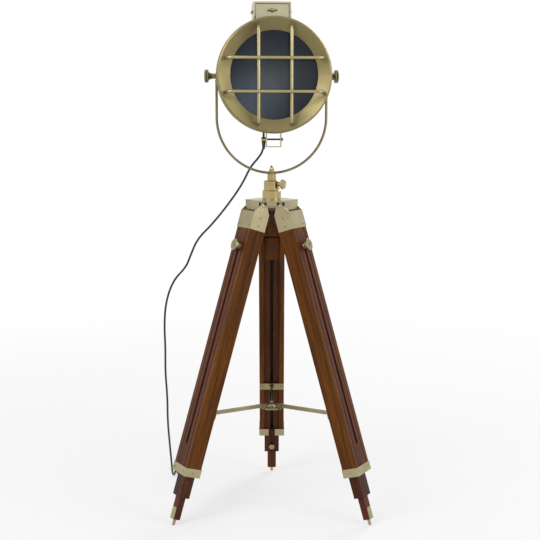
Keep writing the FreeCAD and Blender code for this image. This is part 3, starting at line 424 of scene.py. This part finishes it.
def beads():
    """Rolled beads at the barrel's seams, and the bezel's rolled rim."""
    seams = (("rear_bead", 0.1452, 0.080, 0.0022), ("front_bead", 0.1452, -0.058, 0.0018),
             ("bezel_rim_bead", 0.1578, -0.0690, 0.0016))
    for name, ring_r, y, bead_r in seams:
        bm = bmesh.new()
        turn = Matrix.Translation((ring_r, y, 0))
        circle = bmesh.ops.create_circle(bm, segments=12, radius=bead_r, matrix=turn)["verts"]
        edges = list({e for v in circle for e in v.link_edges})
        bmesh.ops.spin(bm, geom=list(circle) + edges, cent=(0, 0, 0), axis=(0, 1, 0), dvec=(0, 0, 0),
                       angle=2 * pi, steps=120, use_merge=True, use_duplicate=False)
        keep(bm, name, OLIVE_BRASS, "head", HEAD_FRAME)


def hood_lips():
    """Folded lips round the open front and back of the hood over the top box."""
    bm = bmesh.new()
    lip = 0.005
    thick = 0.0012
    half, low, top = 0.0525, 0.152, 0.203
    inner = half - lip
    front, back = -0.025, 0.055
    outline = [(-half, low), (-half, top), (half, top), (half, low), (inner, low), (inner, top - lip),
               (-inner, top - lip), (-inner, low)]
    for y in (front - thick, back):
        face = bm.faces.new([bm.verts.new((x, y, z)) for x, z in outline])
        made = bmesh.ops.extrude_face_region(bm, geom=[face])["geom"]
        bmesh.ops.translate(bm, vec=(0, thick, 0), verts=fresh_verts(made))
    soften(bm, 0.0003)
    keep(bm, "hood_lips", PALE_BRASS, "head", HEAD_FRAME)


def stud_blocks():
    """The plain block at the top of each middle leg, with the clamp stud's end in its bored hole."""
    inner_face = -0.0185          # of the middle leg
    thick = 0.0012
    sunk = 0.0001
    top, end = 0.1008, 0.172
    half = 0.0222
    stud_down = 0.132
    stud = [(0, -0.0005), (0.0072, -0.0005), (0.0072, 0.0003), (0.0064, 0.0006), (0.0058, 0.0001),
            (0.0034, 0.0001), (0.0034, 0.0012), (0.0026, 0.0018), (0, 0.0018)]
    for name, azimuth in LEG_AZIMUTHS.items():
        place = leg_frame(azimuth)
        bm = bmesh.new()
        middle = Matrix.Translation((inner_face - thick / 2 + sunk, 0, -(top + end) / 2))
        box(bm, middle, (thick + 2 * sunk, 2 * half, end - top))
        soften(bm, 0.0005)
        wood = leg_wood(f"mahogany_stud_block_{name}", azimuth, AMBER_TONES)
        keep(bm, f"stud_block_{name}", wood, f"middle_leg_{name}", place)
        bm = bmesh.new()
        turned(bm, stud, along((inner_face - thick, 0, -stud_down), (-1, 0, 0)), 24)
        keep(bm, f"stud_end_{name}", BLACK_STEEL, f"middle_leg_{name}", place)


GUARD_Y = -0.112                  # middle of the uprights, before the pivot
GUARD_PITCH = 0.045               # of the rods, from the middle
GUARD_END_R = 0.137
GUARD_SEAT_Y = -0.0925
GUARD_BEND = 0.012
GUARD_UPRIGHT_R = 0.0052
GUARD_LEVEL_R = 0.0045
GUARD_WELD = 0.0006


def bent_bar(bm, radius, line_y, turn):
    """A guard rod in the head's frame, along X before it is turned; its ends bend back into the bezel."""
    end = sqrt(GUARD_END_R ** 2 - GUARD_PITCH ** 2)
    corner = end - GUARD_BEND
    ring = bmesh.ops.create_circle(bm, segments=16, radius=radius)["verts"]
    start = Matrix.Translation((-end, GUARD_SEAT_Y, 0)) @ Matrix.Rotation(radians(90), 4, "X")
    bmesh.ops.transform(bm, matrix=start, verts=ring)
    made = list(ring)
    edges = list({e for v in ring for e in v.link_edges})

    def run(vec):
        out = bmesh.ops.extrude_edge_only(bm, edges=edges)["geom"]
        fresh = fresh_verts(out)
        bmesh.ops.translate(bm, vec=vec, verts=fresh)
        made.extend(fresh)
        edges[:] = [g for g in out if isinstance(g, bmesh.types.BMEdge) and all(v in fresh for v in g.verts)]

    def bend(centre):
        before = set(bm.verts)
        out = bmesh.ops.spin(bm, geom=edges, cent=centre, axis=(0, 0, 1), dvec=(0, 0, 0), angle=radians(90),
                             steps=6, use_merge=False, use_duplicate=False)["geom_last"]
        made.extend(v for v in bm.verts if v not in before)
        edges[:] = [g for g in out if isinstance(g, bmesh.types.BMEdge)]

    run((0, line_y + GUARD_BEND - GUARD_SEAT_Y, 0))
    bend((-corner, line_y + GUARD_BEND, 0))
    run((2 * corner, 0, 0))
    bend((corner, line_y + GUARD_BEND, 0))
    run((0, GUARD_SEAT_Y - line_y - GUARD_BEND, 0))
    bmesh.ops.transform(bm, matrix=turn, verts=made)


def guard():
    """The front guard's four rods at their full thickness: uprights behind, cross rods welded over them."""
    bm = bmesh.new()
    for side in (-1, 1):
        level = Matrix.Translation((0, 0, side * GUARD_PITCH))
        upright = Matrix.Translation((side * GUARD_PITCH, 0, 0)) @ Matrix.Rotation(radians(90), 4, "Y")
        bent_bar(bm, GUARD_LEVEL_R, GUARD_Y - GUARD_UPRIGHT_R - GUARD_LEVEL_R + GUARD_WELD, level)
        bent_bar(bm, GUARD_UPRIGHT_R, GUARD_Y, upright)
    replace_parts(keep(bm, "guard_rods", ROD_BRASS, "head", HEAD_FRAME), "grille")


def knob_dots():
    """The dark recessed screw in the middle of each leg's clamp knob."""
    seat, neck, disc = 0.0003, 0.008, 0.0095
    tip = LEG_FACE + seat + neck + disc
    knob_down = 0.125
    screw = [(0, -0.0019), (0.0036, -0.0019), (0.0036, -0.0008), (0.0026, -0.0002), (0, 0.0)]
    for name, azimuth in LEG_AZIMUTHS.items():
        bm = bmesh.new()
        turned(bm, screw, along((tip, 0, -knob_down), (1, 0, 0)), 24)
        keep(bm, f"clamp_dot_{name}", BLACK_STEEL, f"clamp_knob_{name}", leg_frame(azimuth))


# ------------------------------------------------------------------ cord
def lamp_point(x, y, z):
    """A point given in millimetres about the column's axis."""
    return Vector((x / 1000, y / 1000 + AXIS_Y, z / 1000))


COIL_MID_R = 0.033
COIL_TURNS = 4
COIL_PITCH = 0.0066
COIL_LAYER = 0.0066
COIL_X = -274                     # millimetres, as in lamp_point
COIL_CENTRE = lamp_point(COIL_X, 300, 0)
COIL_OUTER = COIL_MID_R + COIL_PITCH * COIL_TURNS / 4
COIL_LEFT = COIL_X - 1000 * COIL_OUTER
LEAD_OUT = 0.020
LAID_Z = 1000 * FLOOR_Z

HEAD_ROUTE = [lamp_point(-22.91, -2.0, 1072.5), lamp_point(-22.91, -2.0, 1050), lamp_point(-38, 6, 1026),
              lamp_point(-61, 14, 1001), lamp_point(-84, 20, 952), lamp_point(-125, 24, 893),
              lamp_point(-172, 30, 835)]
FLOOR_ROUTE = [lamp_point(-216, 38, 791), lamp_point(-236, 46, 745), lamp_point(-251, 54, 706),
               lamp_point(-290, 66, 666), lamp_point(-314, 80, 602), lamp_point(-322, 96, 530),
               lamp_point(-321, 112, 452), lamp_point(-324, 128, 372), lamp_point(-320, 143, 292),
               lamp_point(-322, 158, 212), lamp_point(-318, 174, 134), lamp_point(COIL_LEFT - 1, 194, 62),
               lamp_point(COIL_LEFT - 2, 228, 18), lamp_point(COIL_LEFT - 0.5, 262, LAID_Z),
               lamp_point(COIL_LEFT, 294, LAID_Z)]


def coil_points():
    """The coil's turns, wound clockwise: in on the floor, up a layer, and out again."""
    steps = 16
    spread = 1 / cos(pi / steps)
    points = []
    for k in range(COIL_TURNS * steps + 1):
        turn = k / steps
        radius = (COIL_OUTER - COIL_PITCH * min(turn, COIL_TURNS - turn)) * spread
        angle = pi - 2 * pi * turn
        climb = min(1, max(0, (turn - COIL_TURNS / 2 + 0.25) / 0.5))
        rise = FLOOR_Z + COIL_LAYER * climb
        points.append(COIL_CENTRE + Vector((radius * cos(angle), radius * sin(angle), rise)))
    points.append(points[-1] + Vector((0.0, LEAD_OUT, 0)))
    return points


def nurbs(points, name):
    curve = bpy.data.curves.new(name, "CURVE")
    curve.dimensions = "3D"
    curve.resolution_u = 8
    spline = curve.splines.new("NURBS")
    spline.points.add(len(points) - 1)
    for held, point in zip(spline.points, points):
        held.co = (*point, 1.0)
    spline.order_u = 3
    spline.use_endpoint_u = True
    return curve


def cord_piece(name, points, radius):
    """A mesh tube along a smooth spline, and the line that it follows."""
    curve = nurbs(points, name + "_line")
    holder = bpy.data.objects.new(name + "_line", curve)
    line = bpy.data.meshes.new_from_object(holder)
    path = [v.co.copy() for v in line.vertices]
    curve.bevel_depth = radius
    curve.bevel_resolution = 3
    curve.use_fill_caps = True
    mesh = bpy.data.meshes.new_from_object(holder)
    mesh.name = name
    bpy.data.objects.remove(holder)
    mesh.materials.clear()
    mesh.materials.append(CORD_SHEATH)
    mesh.polygons.foreach_set("use_smooth", [True] * len(mesh.polygons))
    piece = bpy.data.objects.new(name, mesh)
    bpy.context.scene.collection.objects.link(piece)
    return piece, path


def cords():
    """The cord in two lengths that meet behind the yoke's side."""
    meet = (HEAD_ROUTE[-1] + FLOOR_ROUTE[0]) / 2
    upper, upper_path = cord_piece("cord_upper", HEAD_ROUTE + [meet], CORD_R)
    lower, lower_path = cord_piece("cord_lower", [meet] + FLOOR_ROUTE + coil_points(), CORD_R)
    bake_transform(upper)
    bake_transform(lower)
    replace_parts(upper, "cord_drop")
    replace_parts(lower, "cord_drop", "cord_coil")
    cord_sleeve()
    coil_tie()
    plug_blades()


def cord_sleeve():
    """A tapered rubber sleeve where the cord leaves its brass clamp."""
    bm = bmesh.new()
    seat = along(HEAD_ROUTE[0], (0, 0, -1))
    line = [(CORD_R, 0.0), (0.0050, 0.0), (0.0052, 0.003), (0.0040, 0.018), (0.0034, 0.021), (CORD_R, 0.021)]
    verts = [bm.verts.new(seat @ Vector((r, 0, z))) for r, z in line + [line[0]]]
    edges = [bm.edges.new(pair) for pair in zip(verts, verts[1:])]
    bmesh.ops.spin(bm, geom=verts + edges, cent=seat.translation, axis=(0, 0, 1), dvec=(0, 0, 0),
                   angle=2 * pi, steps=24, use_merge=True, use_duplicate=False)
    return keep(bm, "cord_sleeve", CORD_SHEATH, "head")


def coil_tie():
    """A twisted wire tie round the coil's turns, on the side away from the lamp."""
    bm = bmesh.new()
    centre = COIL_CENTRE + Vector((COIL_MID_R, 0, FLOOR_Z + COIL_LAYER / 2))
    band = bmesh.ops.create_circle(bm, segments=24, radius=1.0)["verts"]
    half_wide = 0.0128
    half_tall = 0.00615
    raised = 0.00035              # so that it stays off the floor
    long = 0.004
    for v in band:
        v.co = Vector((v.co.x * half_wide, 0, v.co.y * half_tall + raised))
    made = bmesh.ops.extrude_edge_only(bm, edges=bm.edges[:])["geom"]
    bmesh.ops.translate(bm, vec=(0, long, 0), verts=fresh_verts(made))
    bmesh.ops.solidify(bm, geom=bm.faces[:], thickness=0.0006)
    return keep(bm, "coil_tie", PLUG_PLASTIC, "column", Matrix.Translation(centre))


def plug_blades():
    """Brass blades over the moulded plug's two pins."""
    low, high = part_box("plug")
    middle = (Vector(low) + Vector(high)) / 2
    blade = (0.0018, 0.0164, 0.0065)
    half_apart = 0.00635
    bm = bmesh.new()
    for side in (-1, 1):
        box(bm, Matrix.Translation((middle.x + side * half_apart, high[1] - 0.0078, middle.z)), blade)
    soften(bm, 0.0004)
    return keep(bm, "plug_blades", BRASS, "column")


# ------------------------------------------------------------------ studio
def swept_floor():
    """A floor that bends up into a wall behind the lamp."""
    depth = 5.0
    bend = 1.6
    half_wide = 16.0
    front = -9.0
    wall_top = 9.0
    bm = bmesh.new()
    line = [Vector((-half_wide, front, 0)), Vector((-half_wide, depth, 0))]
    arc_steps = 16
    for k in range(1, arc_steps + 1):
        turn = pi / 2 * k / arc_steps
        line.append(Vector((-half_wide, depth + bend * sin(turn), bend * (1 - cos(turn)))))
    line.append(Vector((-half_wide, depth + bend, wall_top)))
    verts = [bm.verts.new(point) for point in line]
    edges = [bm.edges.new(pair) for pair in zip(verts, verts[1:])]
    made = bmesh.ops.extrude_edge_only(bm, edges=edges)["geom"]
    bmesh.ops.translate(bm, vec=(2 * half_wide, 0, 0), verts=fresh_verts(made))
    bmesh.ops.recalc_face_normals(bm, faces=bm.faces)
    mesh = bpy.data.meshes.new("studio_floor")
    bm.to_mesh(mesh)
    bm.free()
    mesh.polygons.foreach_set("use_smooth", [True] * len(mesh.polygons))
    return mesh


def pale_floor():
    """Lit near the lamp, so that it holds the shadow, and white further away."""
    t = Tree("pale_floor")
    lit = t.node("ShaderNodeBsdfDiffuse", {}, {"Color": (0.92, 0.92, 0.92, 1)})
    glow = t.node("ShaderNodeEmission", {}, {"Color": (1, 1, 1, 1), "Strength": 1.0})
    seen = t.math("MAXIMUM", t.node("ShaderNodeLightPath", out="Is Camera Ray"),
                  t.math("MAXIMUM", t.node("ShaderNodeLightPath", out="Is Glossy Ray"),
                         t.node("ShaderNodeLightPath", out="Is Transmission Ray")))
    away = t.node("ShaderNodeVectorMath", {"operation": "LENGTH"},
                  {0: t.node("ShaderNodeTexCoord", out=3)}, out=1)
    far = t.node("ShaderNodeMapRange", {},
                 {"Value": away, "From Min": 0.25, "From Max": 3.2, "To Min": 0.55, "To Max": 1.0})
    t.finish(t.node("ShaderNodeMixShader", {}, {0: seen * far, 1: lit, 2: glow}))
    return t.material


def surround():
    """White where it is seen, straight or in a reflection, and dimmer as a light."""
    world = bpy.data.worlds.new("studio")
    world.use_nodes = True
    bpy.context.scene.world = world
    nodes = world.node_tree.nodes
    links = world.node_tree.links
    nodes.clear()
    path = nodes.new("ShaderNodeLightPath")
    straight = nodes.new("ShaderNodeMath")
    straight.operation = "MAXIMUM"
    links.new(path.outputs["Is Camera Ray"], straight.inputs[0])
    links.new(path.outputs["Is Transmission Ray"], straight.inputs[1])
    either = nodes.new("ShaderNodeMath")
    either.operation = "MAXIMUM"
    links.new(straight.outputs[0], either.inputs[0])
    links.new(path.outputs["Is Glossy Ray"], either.inputs[1])
    strength = nodes.new("ShaderNodeMapRange")
    strength.inputs["To Min"].default_value = 0.55
    strength.inputs["To Max"].default_value = 1.0
    links.new(either.outputs[0], strength.inputs["Value"])
    background = nodes.new("ShaderNodeBackground")
    background.inputs["Color"].default_value = (1, 1, 1, 1)
    links.new(strength.outputs["Result"], background.inputs["Strength"])
    output = nodes.new("ShaderNodeOutputWorld")
    links.new(background.outputs[0], output.inputs["Surface"])


# name, place in metres, size of its square in metres, watts
LAMPS = (("key", (-2.2, -2.6, 2.9), 2.2, 56.0), ("fill", (2.6, -2.0, 1.9), 1.8, 30.0),
         ("rim", (1.6, 2.4, 2.6), 1.2, 28.0))
LAMPS_AIM = Vector((0, 0, 0.75))


def soft_lamps():
    for name, place, size, power in LAMPS:
        light = bpy.data.lights.new(name, "AREA")
        light.size = size
        light.energy = power
        lamp = bpy.data.objects.new(name, light)
        lamp.location = place
        lamp.rotation_euler = (LAMPS_AIM - Vector(place)).to_track_quat("-Z", "Y").to_euler()
        bpy.context.scene.collection.objects.link(lamp)


def studio():
    floor = bpy.data.objects.new("studio_floor", swept_floor())
    bpy.context.scene.collection.objects.link(floor)
    floor.data.materials.append(pale_floor())
    surround()
    soft_lamps()


def camera():
    """At the height of the lamp's head, looking down a little, with no vertical shift for other views."""
    distance = 3.045
    eye_height = 1.122
    pitch_down = 7.8
    mm_per_pixel = 2.858
    frame_pixels = 540
    axis_column = 271.7
    data = bpy.data.cameras.new("camera")
    data.sensor_width = 36.0
    data.lens = data.sensor_width * 1000 * distance / mm_per_pixel / frame_pixels
    data.shift_x = (frame_pixels / 2 - axis_column) / frame_pixels
    data.clip_end = 60
    eye = bpy.data.objects.new("camera", data)
    eye.location = (0, AXIS_Y - distance, eye_height)
    eye.rotation_euler = (radians(90 - pitch_down), 0, 0)
    bpy.context.scene.collection.objects.link(eye)
    bpy.context.scene.camera = eye
    bpy.context.scene.view_settings.view_transform = "Standard"


camera()
studio()
dress_nodes()
cords()
fasteners()
wing_screw()
hood_lips()
stud_blocks()
beads()
guard()
knob_dots()
